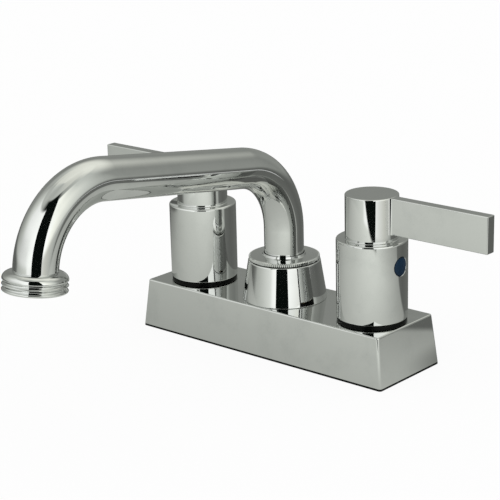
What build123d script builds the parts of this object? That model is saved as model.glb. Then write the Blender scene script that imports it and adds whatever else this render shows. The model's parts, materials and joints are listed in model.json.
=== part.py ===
from build123d import *
import os
from math import cos, radians, sin

# Layout on the deck: z is 0 at the underside of the gasket, +X is the cold side, -Y the front
handle_spacing = 101.6
gasket_thickness = 1.0
gasket_hole_gap = 0.5

# Fits shared by the whole faucet
braze_gap = 0.03
thread_gap = 0.05
running_gap = 0.06
loose_gap = 0.3
cut_overrun = 2.0
match_tolerance = 0.01

# Base cover: a hollow block whose four sides lean inwards
cover_height = 23.7
cover_end_margin = 2.4
cover_front_margin = 0.75
cover_end_taper = 2.7
cover_front_taper = 1.65
cover_wall = 2.0
cover_corner_radius = 1.0
cover_edge_radius = 0.7
cover_hole_gap = 0.4

# Inlet shanks and valve bodies
shank_radius = 10.45
shank_wall = 3.95
shank_length = 50.0
shank_chamfer = 1.0
supply_thread_length = 23.0
relief_depth = 1.0
relief_width = 2.0
valve_flange_width = 4.55
valve_flange_thickness = 3.0
valve_body_radius = 12.0
valve_rise = 9.3
valve_wall = 1.8
valve_thread_wall = 2.7
valve_thread_length = 11.0
seat_drop = 6.5
seat_land = 2.2
seat_thickness = 4.0

# Mounting hardware below the deck
deck_thickness = 12.0
mounting_washer_width = 6.25
mounting_washer_thickness = 1.5
mounting_nut_wall = 4.0
mounting_nut_height = 9.0
mounting_nut_flange_width = 2.5
mounting_nut_flange_height = 2.5
nut_lug_length = 7.5
nut_lug_width = 4.0
nut_lug_count = 4

# Ring nut that holds the cover on each valve body
cover_nut_wall = 1.65
cover_nut_height = 2.8
cover_nut_slot_width = 3.0
cover_nut_slot_depth = 0.9
cover_nut_slot_count = 6

# Ceramic cartridge
seat_seal_height = 2.0
cage_clearance = 0.7
cage_wall = 1.2
cage_foot_depth = 0.8
cage_window_width = 8.0
cage_window_height = 5.0
disc_clearance = 0.2
disc_thickness = 3.0
disc_rim = 1.6
disc_port_inner_radius = 1.8
disc_port_web = 1.2
disc_ear_width = 3.0
bonnet_seal_thickness = 0.9
bonnet_seal_inset = 1.3
bonnet_hex_inset = 1.75
bonnet_hex_height = 4.6
bonnet_neck_wall = 2.14
bonnet_neck_height = 4.5
stem_radius = 4.0
stem_foot_height = 3.0
stem_key_inset = 2.2
stem_key_width = 3.0
stem_key_depth = 1.2
stem_groove_height = 10.0
stem_groove_width = 2.0
stem_groove_depth = 1.1
stem_clip_width = 1.6
stem_clip_thickness = 0.8
stem_clip_depth = 0.6
stem_clip_mouth = 4.6
spline_length = 13.5
spline_depth = 0.45
spline_count = 20
spline_tooth_shares = (0.0, 0.22, 0.5, 0.72)

# Crossover tubes between the valve bodies and the spout body
crossover_radius = 4.5
crossover_wall = 0.8
crossover_cover_gap = 1.7
crossover_socket_depth = 1.5

# Handle: skirt, hub and the flat lever let into it
skirt_clearance = 0.6
skirt_wall = 1.75
skirt_lift = 1.35
skirt_ceiling_thickness = 4.0
skirt_edge_radius = 0.9
skirt_foot_radius = 0.5
handle_crown = 3.8
hub_shoulder = 4.05
hub_height = 20.0
hub_edge_radius = 0.5
boss_wall = 2.85
boss_lift = 0.9
lever_reach = 61.75
lever_thickness = 5.1
lever_lift = 3.6
lever_edge_radius = 0.4
tenon_depth = 7.0
tenon_cheek = 1.05
tenon_shoulder = 3.1
index_lift = 5.7
index_radius = 4.3
index_dome = 0.15
index_shell = 1.6
set_screw_radius = 2.4
set_screw_length = 4.0
set_screw_socket_across = 2.5
set_screw_socket_depth = 2.0
handle_ring_inset = 0.3
handle_ring_wall = 1.3
handle_ring_gap = 0.15

# Spout tube: riser, first bend, rising run, second bend
tube_radius = 9.2
tube_wall = 1.0
tube_foot_gap = 1.5
riser_rise = 14.6
first_bend_radius = 34.4
rise_angle = 8.75
run_length = 85.1
second_bend_radius = 33.2
second_bend_angle = 91.1
tube_tail = 0.9

# Spout body, bell and retaining nut
spout_body_wall = 3.74
spout_floor_thickness = 3.0
spout_chamber_drop = 6.5
spout_shoulder_width = 1.3
spout_counterbore_depth = 5.2
seal_section = 1.7
seal_groove_width = 2.1
seal_groove_depth = 1.75
first_seal_height = 6.0
second_seal_height = 11.0
bell_height = 18.5
bell_flare = 2.95
bell_clearance = 0.7
bell_wall = 1.7
bell_edge_radius = 0.4
bell_washer_thickness = 0.3
bell_washer_inset = 0.3
nut_skirt_wall = 1.35
nut_skirt_depth = 7.0
nut_seat_depth = 1.2
nut_ceiling_gap = 0.1
nut_rim_overhang = 2.15
nut_rim_height = 1.35
nut_cone_height = 1.65
nut_cone_inset = 0.6
knurl_count = 96
knurl_depth = 0.35
knurl_tooth_shares = (0.0, 0.12, 0.5, 0.62)

# Swivel parts on the foot of the spout
swivel_collar_width = 1.97
swivel_collar_height = 2.5
swivel_washer_overhang = 0.1
swivel_washer_bore_gap = 0.25

# Outlet collar with the male hose thread
collar_length = 8.3
collar_wall = 4.1
collar_shoulder_radius = 3.0
collar_mouth_chamfer = 0.8
collar_socket_depth = 3.0
collar_counterbore_step = 2.0
collar_counterbore_depth = 2.2

# Widths worked out from the sizes above
handle_x = handle_spacing / 2
shank_bore_radius = shank_radius - shank_wall
valve_flange_radius = shank_radius + valve_flange_width
mounting_bore_radius = shank_radius + thread_gap
mounting_nut_radius = mounting_bore_radius + mounting_nut_wall
mounting_nut_flange_radius = mounting_nut_radius + mounting_nut_flange_width
nut_lug_reach = mounting_nut_radius + nut_lug_length
washer_bore_radius = shank_radius + loose_gap
chamber_radius = valve_body_radius - valve_wall
valve_socket_radius = valve_body_radius - valve_thread_wall
cage_radius = valve_socket_radius - cage_clearance
cage_bore_radius = cage_radius - cage_wall
disc_radius = cage_bore_radius - disc_clearance
disc_ear_reach = cage_radius - loose_gap
seat_bore_radius = disc_radius - seat_land
stem_key_length = 2 * (disc_radius - stem_key_inset)
bonnet_neck_radius = stem_radius + running_gap + bonnet_neck_wall
stem_clip_radius = stem_radius + stem_clip_width
boss_radius = stem_radius + thread_gap + boss_wall
cover_nut_radius = valve_body_radius + thread_gap + cover_nut_wall
skirt_bore_radius = cover_nut_radius + skirt_clearance
skirt_radius = skirt_bore_radius + skirt_wall
hub_radius = skirt_radius - hub_shoulder
handle_ring_radius = skirt_radius - handle_ring_inset
tube_bore_radius = tube_radius - tube_wall
tube_socket_radius = tube_radius + running_gap
spout_body_radius = tube_socket_radius + spout_body_wall
spout_chamber_radius = tube_radius - spout_shoulder_width
swivel_collar_radius = tube_radius + braze_gap + swivel_collar_width
swivel_washer_radius = swivel_collar_radius + swivel_washer_overhang
spout_counterbore_radius = swivel_collar_radius + loose_gap
nut_thread_radius = spout_body_radius + thread_gap
nut_skirt_radius = nut_thread_radius + nut_skirt_wall
nut_rim_radius = nut_skirt_radius + nut_rim_overhang
bell_bore_radius = nut_skirt_radius + bell_clearance
bell_top_radius = bell_bore_radius + bell_wall
bell_bottom_radius = bell_top_radius + bell_flare
bell_washer_radius = nut_rim_radius - bell_washer_inset
collar_thread_radius = tube_radius + collar_wall
cover_top_length = handle_spacing + 2 * (skirt_radius + cover_end_margin)
cover_top_depth = 2 * (bell_bottom_radius + cover_front_margin)
cover_bottom_length = cover_top_length + 2 * cover_end_taper
cover_bottom_depth = cover_top_depth + 2 * cover_front_taper

# Heights worked out from the sizes above
valve_flange_top = gasket_thickness + valve_flange_thickness
relief_low = supply_thread_length + shank_chamfer - shank_length
cover_ceiling = cover_height - cover_wall
crossover_height = cover_ceiling - crossover_cover_gap - crossover_radius
valve_body_height = cover_height + valve_rise
chamber_height = valve_body_height - valve_thread_length
seat_height = crossover_height - seat_drop
seat_low = seat_height - seat_thickness
seat_seal_top = seat_height + seat_seal_height
fixed_disc_top = seat_seal_top + disc_thickness
moving_disc_top = fixed_disc_top + disc_thickness
stem_foot_top = moving_disc_top + stem_foot_height
cage_bottom = seat_seal_top - cage_foot_depth
bonnet_hex_low = valve_body_height + bonnet_seal_thickness
bonnet_hex_top = bonnet_hex_low + bonnet_hex_height
bonnet_top = bonnet_hex_top + bonnet_neck_height
stem_clip_low = bonnet_top + loose_gap
stem_clip_top = stem_clip_low + stem_clip_thickness
stem_top = stem_clip_top + spline_length
boss_bottom = stem_clip_top + boss_lift
index_height = boss_bottom + index_lift
skirt_bottom = cover_height + skirt_lift
skirt_top = stem_top + handle_crown
skirt_ceiling = skirt_top - skirt_ceiling_thickness
hub_top = skirt_top + hub_height
lever_height = hub_height - lever_lift
spout_chamber_bottom = crossover_height - spout_chamber_drop
spout_body_bottom = spout_chamber_bottom - spout_floor_thickness
spout_shoulder_height = crossover_height + crossover_radius
bell_top = cover_height + bell_height
nut_low = bell_top + bell_washer_thickness
nut_rim_top = nut_low + nut_rim_height
nut_ceiling = nut_low - nut_seat_depth
spout_body_top = nut_ceiling - nut_ceiling_gap
counterbore_low = spout_body_top - spout_counterbore_depth
seal_heights = (spout_shoulder_height + first_seal_height, spout_shoulder_height + second_seal_height)
tube_foot = spout_shoulder_height + tube_foot_gap
riser_top = nut_low + riser_rise
swivel_collar_low = counterbore_low + loose_gap
swivel_collar_top = swivel_collar_low + swivel_collar_height


def rod(radius, low, high):
    # Plain cylinder about the Z axis between two heights
    blank = Cylinder(radius, high - low, align=(Align.CENTER, Align.CENTER, Align.MIN))
    return Pos(0, 0, low) * blank


def ring(outer, inner, low, high):
    # Plain ring about the Z axis
    return rod(outer, low, high) - rod(inner, low, high)


def cross_rod(radius, start, end, height):
    # Plain cylinder along X at a height
    blank = Cylinder(radius, end - start, align=(Align.CENTER, Align.CENTER, Align.MIN))
    return Pos(start, 0, height) * Rot(0, 90, 0) * blank


def slab(length, width, low, high):
    # Box centred on the Z axis between two heights
    blank = Box(length, width, high - low, align=(Align.CENTER, Align.CENTER, Align.MIN))
    return Pos(0, 0, low) * blank


def turned(outline):
    # Solid turned about the Z axis from points of radius and height
    points = [(radius, 0, height) for radius, height in outline]
    return revolve(make_face(Polyline(*points, close=True)), Axis.Z)


def round_rim(piece, radius, height, amount):
    # Rounds the circular edge of that radius at that height
    rims = []
    for edge in piece.edges().filter_by(GeomType.CIRCLE):
        same_radius = abs(edge.radius - radius) < match_tolerance
        same_height = abs(edge.arc_center.Z - height) < match_tolerance
        if same_radius and same_height:
            rims.append(edge)
    return fillet(rims, amount)


def toothed_face(crest, depth, count, shares):
    # Face with straight-sided teeth all round; the shares place each tooth's corners
    points = []
    for tooth in range(count):
        for share, radius in zip(shares, (crest - depth, crest, crest, crest - depth)):
            turn = radians(360 * (tooth + share) / count)
            points.append((radius * cos(turn), radius * sin(turn)))
    return make_face(Polyline(*points, close=True))


def tapered_block(low, high, low_size, high_size):
    # Block between two rectangles, its four leaning corner edges rounded
    sections = []
    for height, size in ((low, low_size), (high, high_size)):
        sections.append(Pos(0, 0, height) * Rectangle(*size))
    block = loft(sections, ruled=True)
    corners = block.edges().filter_by(lambda edge: edge.bounding_box().size.Z > match_tolerance)
    return fillet(corners, cover_corner_radius)


def deck_gasket():
    # Flat pad between the base and the deck, pierced for the shanks
    outline = RectangleRounded(cover_bottom_length, cover_bottom_depth, cover_corner_radius)
    pad = extrude(outline, gasket_thickness)
    hole = rod(shank_radius + gasket_hole_gap, -cut_overrun, gasket_thickness + cut_overrun)
    return pad - Pos(handle_x, 0, 0) * hole - Pos(-handle_x, 0, 0) * hole


def base_cover():
    # Cover with sloping sides, open below, pierced for both valves and the spout body
    low_size = (cover_bottom_length, cover_bottom_depth)
    high_size = (cover_top_length, cover_top_depth)
    block = tapered_block(gasket_thickness, cover_height, low_size, high_size)
    block = fillet(block.edges().group_by(Axis.Z)[-1], cover_edge_radius)
    thin = 2 * cover_wall
    low_hollow = (cover_bottom_length - thin, cover_bottom_depth - thin)
    high_hollow = (cover_top_length - thin, cover_top_depth - thin)
    block -= tapered_block(gasket_thickness, cover_ceiling, low_hollow, high_hollow)
    hole_low = cover_ceiling - cut_overrun
    hole_high = cover_height + cut_overrun
    valve_hole = rod(valve_body_radius + cover_hole_gap, hole_low, hole_high)
    for side in (-1, 1):
        block -= Pos(side * handle_x, 0, 0) * valve_hole
    return block - rod(spout_body_radius + cover_hole_gap, hole_low, hole_high)


def inlet_shank():
    # Threaded tube below each valve body, drawn at crest size; its top meets the seat wall
    foot = -shank_length
    relief_radius = shank_radius - relief_depth
    relief_high = relief_low + relief_width
    return turned([
        (shank_bore_radius, foot),
        (shank_radius - shank_chamfer, foot),
        (shank_radius, foot + shank_chamfer),
        (shank_radius, relief_low),
        (relief_radius, relief_low),
        (relief_radius, relief_high),
        (shank_radius, relief_high),
        (shank_radius, seat_low),
        (shank_bore_radius, seat_low),
    ])


def valve_body():
    # Brass body brazed over the top of its shank; its outlet port faces -X
    shank_socket_radius = shank_radius + braze_gap
    body = turned([
        (shank_socket_radius, gasket_thickness),
        (valve_flange_radius, gasket_thickness),
        (valve_flange_radius, valve_flange_top),
        (valve_body_radius, valve_flange_top),
        (valve_body_radius, valve_body_height),
        (valve_socket_radius, valve_body_height),
        (valve_socket_radius, chamber_height),
        (chamber_radius, chamber_height),
        (chamber_radius, seat_height),
        (seat_bore_radius, seat_height),
        (seat_bore_radius, seat_low),
        (shank_socket_radius, seat_low),
    ])
    port_end = -valve_body_radius - cut_overrun
    return body - cross_rod(crossover_radius + braze_gap, port_end, -seat_bore_radius, crossover_height)


def mounting_washer():
    # Flat washer that bears on the underside of the deck
    top = -deck_thickness
    outer = washer_bore_radius + mounting_washer_width
    return ring(outer, washer_bore_radius, top - mounting_washer_thickness, top)


def mounting_nut():
    # Flanged nut with lugs for tightening by hand
    top = -deck_thickness - mounting_washer_thickness
    bottom = top - mounting_nut_height
    nut = rod(mounting_nut_radius, bottom, top)
    nut += rod(mounting_nut_flange_radius, top - mounting_nut_flange_height, top)
    for lug in range(nut_lug_count // 2):
        bar = slab(2 * nut_lug_reach, nut_lug_width, bottom, top - mounting_nut_flange_height)
        nut += Rot(0, 0, 360 * lug / nut_lug_count) * bar
    return nut - rod(mounting_bore_radius, bottom - cut_overrun, top + cut_overrun)


def cover_nut():
    # Slotted ring nut on the valve body, hidden by the handle skirt
    top = cover_height + cover_nut_height
    nut = ring(cover_nut_radius, valve_body_radius + thread_gap, cover_height, top)
    slot_low = cover_height - cut_overrun
    slot = slab(2 * cover_nut_slot_depth, cover_nut_slot_width, slot_low, top + cut_overrun)
    for turn in range(cover_nut_slot_count):
        nut -= Rot(0, 0, 360 * turn / cover_nut_slot_count) * Pos(cover_nut_radius, 0, 0) * slot
    return nut


def seat_seal():
    # Rubber bush that presses the fixed disc upwards
    return ring(disc_radius, seat_bore_radius, seat_height, seat_seal_top)


def disc_ports(low, high):
    # Two opposite quarter-ring ports
    outer = disc_radius - disc_rim
    band = ring(outer, disc_port_inner_radius, low, high)
    reach = outer + cut_overrun
    corner = (Align.MIN, Align.MIN, Align.MIN)
    quarter = Pos(disc_port_web / 2, disc_port_web / 2, low) * Box(reach, reach, high - low, align=corner)
    return (band & quarter) + (band & Rot(0, 0, 180) * quarter)


def fixed_disc():
    # Lower ceramic disc, with ears that keep it from turning
    disc = rod(disc_radius, seat_seal_top, fixed_disc_top)
    disc += slab(disc_ear_width, 2 * disc_ear_reach, seat_seal_top, fixed_disc_top)
    return disc - disc_ports(seat_seal_top - cut_overrun, fixed_disc_top + cut_overrun)


def stem_key(length, width, depth):
    # Tongue under the stem foot, or the slot that takes it
    return Rot(0, 0, 45) * slab(length, width, moving_disc_top - depth, moving_disc_top)


def moving_disc():
    # Upper ceramic disc, shut against the fixed disc when the handle is off
    disc = rod(disc_radius, fixed_disc_top, moving_disc_top)
    disc -= Rot(0, 0, 90) * disc_ports(fixed_disc_top - cut_overrun, moving_disc_top + cut_overrun)
    slack = 2 * thread_gap
    return disc - stem_key(stem_key_length + slack, stem_key_width + slack, stem_key_depth + thread_gap)


def cartridge_bonnet():
    # Brass bonnet with cage below, screwed into the valve body, hexagon and neck above
    thread_radius = valve_socket_radius - thread_gap
    ceiling = stem_foot_top + loose_gap
    body = turned([
        (cage_bore_radius, cage_bottom),
        (cage_radius, cage_bottom),
        (cage_radius, chamber_height),
        (thread_radius, chamber_height),
        (thread_radius, bonnet_hex_low),
        (bonnet_neck_radius, bonnet_hex_low),
        (bonnet_neck_radius, bonnet_top),
        (stem_radius + running_gap, bonnet_top),
        (stem_radius + running_gap, ceiling),
        (cage_bore_radius, ceiling),
    ])
    hexagon = RegularPolygon(valve_body_radius - bonnet_hex_inset, 6, major_radius=False)
    collar = Pos(0, 0, bonnet_hex_low) * extrude(hexagon, bonnet_hex_height)
    body += collar - rod(bonnet_neck_radius, bonnet_hex_low - cut_overrun, bonnet_hex_top + cut_overrun)
    across = 2 * cage_radius + cut_overrun
    window_low = fixed_disc_top + thread_gap
    body -= slab(across, cage_window_width, window_low, window_low + cage_window_height)
    ear_slot = disc_ear_width + 2 * thread_gap
    return body - slab(ear_slot, across, cage_bottom - cut_overrun, fixed_disc_top + thread_gap)


def bonnet_seal():
    # Flat ring between the bonnet hexagon and the valve body
    outer = valve_body_radius - bonnet_seal_inset
    return ring(outer, valve_socket_radius, valve_body_height, bonnet_hex_low)


def cartridge_stem():
    # Stem with drive foot and key below, seal and clip grooves, splined head above
    groove_low = stem_foot_top + stem_groove_height
    groove_high = groove_low + stem_groove_width
    groove_radius = stem_radius - stem_groove_depth
    clip_radius = stem_radius - stem_clip_depth
    stem = turned([
        (0, moving_disc_top),
        (disc_radius, moving_disc_top),
        (disc_radius, stem_foot_top),
        (stem_radius, stem_foot_top),
        (stem_radius, groove_low),
        (groove_radius, groove_low),
        (groove_radius, groove_high),
        (stem_radius, groove_high),
        (stem_radius, stem_clip_low),
        (clip_radius, stem_clip_low),
        (clip_radius, stem_clip_top),
        (0, stem_clip_top),
    ])
    teeth = toothed_face(stem_radius, spline_depth, spline_count, spline_tooth_shares)
    stem += Pos(0, 0, stem_clip_top) * extrude(teeth, spline_length)
    return stem + stem_key(stem_key_length, stem_key_width, stem_key_depth)


def stem_seal():
    # Ring that seals the stem in the bonnet
    low = stem_foot_top + stem_groove_height + thread_gap
    high = low + stem_groove_width - 2 * thread_gap
    outer = stem_radius + running_gap / 2
    return ring(outer, stem_radius - stem_groove_depth, low, high)


def stem_clip():
    # Open spring clip above the bonnet
    clip = ring(stem_clip_radius, stem_radius - stem_clip_depth, stem_clip_low, stem_clip_top)
    reach = stem_clip_radius + cut_overrun
    mouth = Pos(-reach / 2, 0, 0) * slab(reach, stem_clip_mouth, bonnet_top, stem_clip_top + cut_overrun)
    return clip - mouth


def handle_ring():
    # Black ring on the cover, under the edge of the skirt
    inner = handle_ring_radius - handle_ring_wall
    return ring(handle_ring_radius, inner, cover_height, skirt_bottom - handle_ring_gap)


def tenon(gap):
    # Tongue of the lever or, with a gap round it, the mortise that takes it
    thickness = lever_thickness - 2 * tenon_cheek + 2 * gap
    height = lever_height - 2 * tenon_shoulder + 2 * gap
    middle = hub_top - lever_height / 2
    blank = Box(2 * tenon_depth + gap, thickness, height, align=(Align.MIN, Align.CENTER, Align.CENTER))
    return Pos(hub_radius - tenon_depth - gap, 0, middle) * blank


def handle():
    # Skirt and hub in one, hollow, with a splined boss and the holes for lever, button and screw
    body = turned([
        (0, skirt_bottom),
        (skirt_radius, skirt_bottom),
        (skirt_radius, skirt_top),
        (hub_radius, skirt_top),
        (hub_radius, hub_top),
        (0, hub_top),
    ])
    body = round_rim(body, skirt_radius, skirt_top, skirt_edge_radius)
    body = round_rim(body, skirt_radius, skirt_bottom, skirt_foot_radius)
    body = round_rim(body, hub_radius, hub_top, hub_edge_radius)
    body -= rod(skirt_bore_radius, skirt_bottom - cut_overrun, skirt_ceiling)
    body += rod(boss_radius, boss_bottom, skirt_ceiling)
    socket_crest = stem_radius + thread_gap
    teeth = toothed_face(socket_crest, spline_depth, spline_count, spline_tooth_shares)
    socket_length = stem_top + loose_gap - boss_bottom
    body -= Pos(0, 0, boss_bottom) * extrude(teeth, socket_length)
    body -= tenon(braze_gap)
    body -= cross_rod(index_radius, boss_radius + cut_overrun, skirt_radius + cut_overrun, index_height)
    screw_reach = boss_radius + cut_overrun
    return body - cross_rod(set_screw_radius + thread_gap, 0, screw_reach, index_height)


def lever():
    # Flat blade, coped to the hub, with a tenon let into it
    blank = Box(lever_reach, lever_thickness, lever_height, align=(Align.MIN, Align.CENTER, Align.MAX))
    blade = fillet((Pos(0, 0, hub_top) * blank).edges(), lever_edge_radius)
    blade -= rod(hub_radius + braze_gap, hub_top - 2 * lever_height, hub_top + cut_overrun)
    return blade + tenon(0)


def index_button():
    # Coloured plug over the set screw, its face following the skirt
    plug = cross_rod(index_radius - thread_gap, 0, 2 * skirt_radius, index_height)
    plug &= rod(skirt_radius + index_dome, skirt_bottom, skirt_top)
    return plug - rod(skirt_radius - index_shell, skirt_bottom, skirt_top)


def set_screw():
    # Socket screw that grips the stem
    start = stem_radius + thread_gap
    screw = cross_rod(set_screw_radius, start, start + set_screw_length, index_height)
    across = RegularPolygon(set_screw_socket_across / 2, 6, major_radius=False)
    key = Rot(0, 90, 0) * extrude(across, set_screw_socket_depth + cut_overrun)
    return screw - Pos(start + set_screw_length - set_screw_socket_depth, 0, index_height) * key


def crossover_tube():
    # Tube from the cold valve body to the spout body; the hot one is its half turn
    start = spout_body_radius - crossover_socket_depth
    end = handle_x - valve_body_radius + crossover_socket_depth
    outer = cross_rod(crossover_radius, start, end, crossover_height)
    bore_radius = crossover_radius - crossover_wall
    return outer - cross_rod(bore_radius, start - cut_overrun, end + cut_overrun, crossover_height)


def spout_body():
    # Centre body that takes the foot of the spout, threaded outside for the retaining nut
    body = turned([
        (0, spout_body_bottom),
        (spout_body_radius, spout_body_bottom),
        (spout_body_radius, spout_body_top),
        (spout_counterbore_radius, spout_body_top),
        (spout_counterbore_radius, counterbore_low),
        (tube_socket_radius, counterbore_low),
        (tube_socket_radius, spout_shoulder_height),
        (spout_chamber_radius, spout_shoulder_height),
        (spout_chamber_radius, spout_chamber_bottom),
        (0, spout_chamber_bottom),
    ])
    for height in seal_heights:
        low = height - seal_groove_width / 2
        body -= rod(tube_socket_radius + seal_groove_depth, low, low + seal_groove_width)
    reach = spout_body_radius + cut_overrun
    return body - cross_rod(crossover_radius + braze_gap, -reach, reach, crossover_height)


def spout_seals():
    # Two rings in the grooves of the spout body
    inner = tube_radius + running_gap / 2
    seals = []
    for height in seal_heights:
        low = height - seal_section / 2
        seals.append(ring(inner + seal_section, inner, low, low + seal_section))
    return Compound(children=seals)


def spout_bell():
    # Conical shroud between the cover and the retaining nut
    bell = turned([
        (bell_bottom_radius - bell_wall, cover_height),
        (bell_bottom_radius, cover_height),
        (bell_top_radius, bell_top),
        (bell_bore_radius, bell_top),
    ])
    return round_rim(bell, bell_top_radius, bell_top, bell_edge_radius)


def bell_washer():
    # Thin black washer that shows as a dark line under the nut
    return ring(bell_washer_radius, bell_bore_radius, bell_top, nut_low)


def spout_nut():
    # Retaining nut: knurled rim, low conical top and a threaded skirt inside the bell
    bore = tube_radius + loose_gap
    skirt_low = nut_low - nut_skirt_depth
    rim_root = nut_rim_radius - knurl_depth
    core = turned([
        (bore, nut_ceiling),
        (nut_thread_radius, nut_ceiling),
        (nut_thread_radius, skirt_low),
        (nut_skirt_radius, skirt_low),
        (nut_skirt_radius, nut_low),
        (rim_root, nut_low),
        (rim_root, nut_rim_top),
        (nut_rim_radius - nut_cone_inset, nut_rim_top + nut_cone_inset / 2),
        (bore, nut_rim_top + nut_cone_height),
    ])
    teeth = toothed_face(nut_rim_radius, knurl_depth, knurl_count, knurl_tooth_shares)
    rim = Pos(0, 0, nut_low) * extrude(teeth, nut_rim_height)
    return core + (rim - rod(nut_skirt_radius, nut_low - cut_overrun, nut_rim_top + cut_overrun))


def swivel_washer():
    # Plastic bearing between the spout's collar and the nut
    low = swivel_collar_top + loose_gap
    return ring(swivel_washer_radius, tube_radius + swivel_washer_bore_gap, low, spout_body_top)


def swivel_collar():
    # Ring brazed to the tube, which keeps the spout in its body
    return ring(swivel_collar_radius, tube_radius + braze_gap, swivel_collar_low, swivel_collar_top)


def spout_path():
    # Centreline of the spout: local X runs to the front, local Y up
    riser = Line((0, tube_foot), (0, riser_top))
    first_bend = JernArc(riser @ 1, riser % 1, first_bend_radius, rise_angle - 90)
    run = Line(first_bend @ 1, first_bend @ 1 + (first_bend % 1) * run_length)
    second_bend = JernArc(run @ 1, run % 1, second_bend_radius, -second_bend_angle)
    tail_length = tube_tail + collar_socket_depth
    tail = Line(second_bend @ 1, second_bend @ 1 + (second_bend % 1) * tail_length)
    spout_plane = Plane(origin=(0, 0, 0), x_dir=(0, -1, 0), z_dir=(-1, 0, 0))
    return spout_plane * (riser + first_bend + run + second_bend + tail)


def spout_tube():
    # Bent tube, drawn along its centreline
    section = Circle(tube_radius) - Circle(tube_bore_radius)
    return sweep(Pos(0, 0, tube_foot) * section, spout_path())


def outlet_plane():
    # Plane at the top of the outlet collar, its Z axis along the flow
    path = spout_path()
    direction = path % 1
    return Plane(origin=path @ 1 - direction * collar_socket_depth, x_dir=(1, 0, 0), z_dir=direction)


def hose_collar():
    # Outlet collar: rounded shoulder, plain crest of the hose thread, bevelled mouth
    socket_radius = tube_radius + braze_gap
    socket_end = collar_socket_depth + braze_gap
    counterbore_radius = tube_bore_radius + collar_counterbore_step
    counterbore_start = collar_length - collar_counterbore_depth
    collar = turned([
        (socket_radius, 0),
        (collar_thread_radius, 0),
        (collar_thread_radius, collar_length - collar_mouth_chamfer),
        (collar_thread_radius - collar_mouth_chamfer, collar_length),
        (counterbore_radius, collar_length),
        (counterbore_radius, counterbore_start),
        (tube_bore_radius, counterbore_start),
        (tube_bore_radius, socket_end),
        (socket_radius, socket_end),
    ])
    return outlet_plane() * round_rim(collar, collar_thread_radius, 0, collar_shoulder_radius)


def write(name, piece):
    export_step(piece, "parts/" + name + ".step")


os.makedirs("parts", exist_ok=True)

side_pieces = {
    "inlet_shank": inlet_shank,
    "valve_body": valve_body,
    "mounting_washer": mounting_washer,
    "mounting_nut": mounting_nut,
    "cover_nut": cover_nut,
    "seat_seal": seat_seal,
    "fixed_disc": fixed_disc,
    "moving_disc": moving_disc,
    "cartridge_bonnet": cartridge_bonnet,
    "bonnet_seal": bonnet_seal,
    "cartridge_stem": cartridge_stem,
    "stem_seal": stem_seal,
    "stem_clip": stem_clip,
    "handle_ring": handle_ring,
    "handle": handle,
    "lever": lever,
    "index_button": index_button,
    "set_screw": set_screw,
}
centre_pieces = {
    "deck_gasket": deck_gasket,
    "base_cover": base_cover,
    "spout_body": spout_body,
    "spout_seals": spout_seals,
    "spout_bell": spout_bell,
    "bell_washer": bell_washer,
    "spout_nut": spout_nut,
    "swivel_washer": swivel_washer,
    "swivel_collar": swivel_collar,
    "spout_tube": spout_tube,
    "hose_collar": hose_collar,
}

for name, make in side_pieces.items():
    piece = make()
    write("cold_" + name, Pos(handle_x, 0, 0) * piece)
    write("hot_" + name, Pos(-handle_x, 0, 0) * Rot(0, 0, 180) * piece)

write("cold_crossover_tube", crossover_tube())
write("hot_crossover_tube", Rot(0, 0, 180) * crossover_tube())

for name, make in centre_pieces.items():
    write(name, make())
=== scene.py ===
import bmesh
import bpy
import json
from math import cos, hypot, pi, radians, sin
from mathutils import Matrix, Vector


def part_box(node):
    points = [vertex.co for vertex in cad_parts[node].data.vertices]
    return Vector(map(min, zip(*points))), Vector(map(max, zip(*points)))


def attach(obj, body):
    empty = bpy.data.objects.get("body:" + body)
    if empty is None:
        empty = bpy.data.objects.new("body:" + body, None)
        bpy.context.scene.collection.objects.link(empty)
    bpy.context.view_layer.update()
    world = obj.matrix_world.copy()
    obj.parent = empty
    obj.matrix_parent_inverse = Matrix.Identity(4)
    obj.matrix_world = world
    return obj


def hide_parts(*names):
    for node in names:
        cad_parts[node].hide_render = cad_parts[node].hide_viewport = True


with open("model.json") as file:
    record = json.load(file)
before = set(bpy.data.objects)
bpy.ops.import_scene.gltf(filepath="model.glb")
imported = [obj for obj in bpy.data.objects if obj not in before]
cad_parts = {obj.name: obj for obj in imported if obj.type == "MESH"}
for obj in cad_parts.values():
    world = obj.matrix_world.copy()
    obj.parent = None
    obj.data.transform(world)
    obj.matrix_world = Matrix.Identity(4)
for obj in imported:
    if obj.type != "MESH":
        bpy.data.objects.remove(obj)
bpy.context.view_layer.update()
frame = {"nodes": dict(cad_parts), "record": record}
mm = 0.001
near = 0.01 * mm
record = frame["record"]


# Modelling helpers

def startClean():
    if bpy.context.object and bpy.context.object.mode != "OBJECT":
        bpy.ops.object.mode_set(mode="OBJECT")
    bpy.ops.object.select_all(action="DESELECT")


def selectOnly(piece):
    startClean()
    piece.select_set(True)
    bpy.context.view_layer.objects.active = piece


def editOnly(piece):
    selectOnly(piece)
    bpy.ops.object.mode_set(mode="EDIT")
    bpy.ops.mesh.select_all(action="DESELECT")


def pickVerts(piece, test):
    # Selects the vertices that pass, with the edges and faces between them
    bpy.ops.mesh.select_all(action="DESELECT")
    bpy.ops.mesh.select_mode(type="VERT")
    mesh = bmesh.from_edit_mesh(piece.data)
    for vert in mesh.verts:
        if test(vert.co):
            vert.select_set(True)
    mesh.select_flush(True)
    bmesh.update_edit_mesh(piece.data)


def pickEdges(piece, test):
    # Selects the edges whose two ends pass together
    bpy.ops.mesh.select_all(action="DESELECT")
    bpy.ops.mesh.select_mode(type="EDGE")
    mesh = bmesh.from_edit_mesh(piece.data)
    for edge in mesh.edges:
        if test(edge.verts[0].co, edge.verts[1].co):
            edge.select_set(True)
    bmesh.update_edit_mesh(piece.data)


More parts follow.
